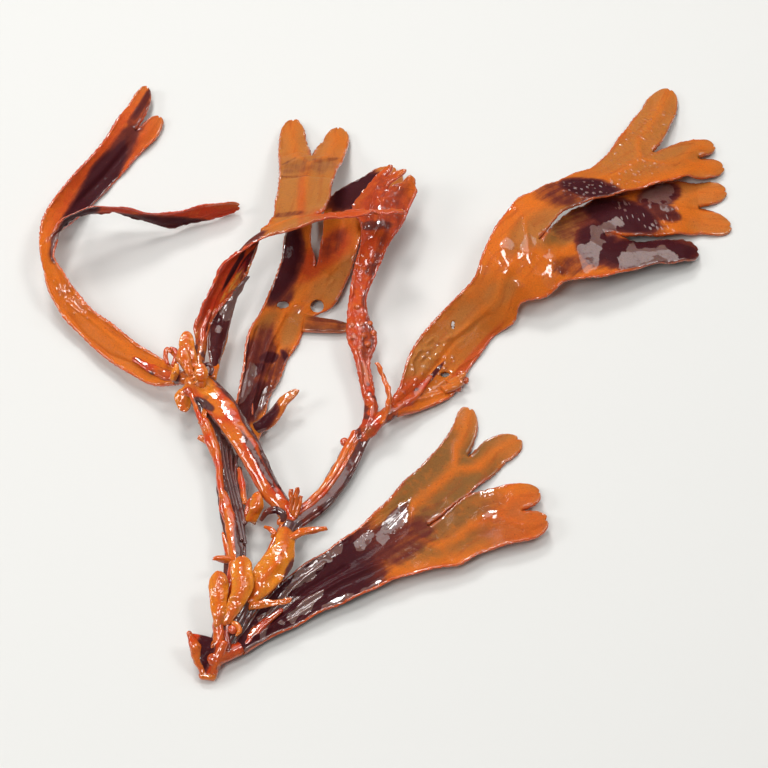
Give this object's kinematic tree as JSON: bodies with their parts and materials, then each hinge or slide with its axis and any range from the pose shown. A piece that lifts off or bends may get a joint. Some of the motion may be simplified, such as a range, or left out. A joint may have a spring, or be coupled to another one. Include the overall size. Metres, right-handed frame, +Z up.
{
  "type": "fucus seaweed",
  "caption": "Wet sprig of brown seaweed lying flat, with forked ribboned fronds, one arched over another, on branching stalks that carry small blades and knobs.",
  "frame": {"origin": "middle of the plan of the bounding box, at the surface that the sprig lies on", "axes": "+Z up, square to the surface that the sprig lies on, +Y away from the cut base of the stalks towards the frond tips, +X to the right as seen from the cut base"},
  "size_m": [0.2308, 0.233, 0.0269],
  "materials": {
    "wet_blade": "wet, glossy and slightly see-through, from golden orange at the tips to dark purple-brown where it is thick",
    "wet_stem": "wet and glossy, orange-red with dark maroon furrows"
  },
  "bodies": {
    "root": {"frond_lower": "wet_blade", "frond_right": "wet_blade", "frond_middle": "wet_blade", "frond_arched": "wet_blade", "frond_knobbly": "wet_blade", "frond_left": "wet_blade", "stipe": "wet_stem"}
  },
  "joints": []
}
